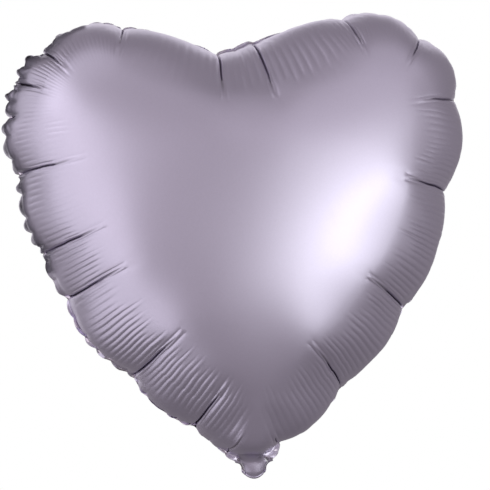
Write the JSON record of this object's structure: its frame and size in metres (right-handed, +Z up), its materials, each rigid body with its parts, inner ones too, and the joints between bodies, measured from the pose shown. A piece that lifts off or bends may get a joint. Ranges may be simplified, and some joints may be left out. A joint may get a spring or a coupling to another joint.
{
  "type": "heart-shaped foil balloon",
  "caption": "Inflated heart-shaped foil balloon with a domed front and rear film, a heat-sealed puckered border, a self-sealing valve in its neck and a fold-up tail.",
  "frame": {"origin": "the point in the middle of the neck where a ribbon is tied", "axes": "+Z up the middle of the heart from the neck to the notch, +X to the viewer's right, the front faces -Y"},
  "size_m": [0.363, 0.206, 0.3673],
  "materials": {
    "foil_front": "satin lilac-grey ink over a metallised film",
    "foil_rear": "satin lilac-grey ink over a metallised film",
    "heat_seal": "two metallised films melted together, flattened and slightly glossier",
    "valve_film": "clear polyethylene film",
    "valve_seal": "melted polyethylene",
    "release_ink": "matt heat-resistant ink"
  },
  "bodies": {
    "balloon": {"front_panel": "foil_front", "rear_panel": "foil_rear", "edge_seal": "heat_seal", "neck_front_ply": "foil_front", "neck_rear_ply": "foil_rear", "neck_side_seals": "heat_seal", "valve_front_film": "valve_film", "valve_rear_film": "valve_film", "valve_side_seals": "valve_seal", "valve_release_print": "release_ink"},
    "tail": {"tail_front_ply": "foil_front", "tail_rear_ply": "foil_rear", "tail_side_seals": "heat_seal"}
  },
  "joints": [
    {"name": "tail_fold", "type": "hinge", "parent": "balloon", "child": "tail", "pos_m": [0, 0, -0.011], "axis": [-1, 0, 0], "range_deg": [0, 210]}
  ]
}
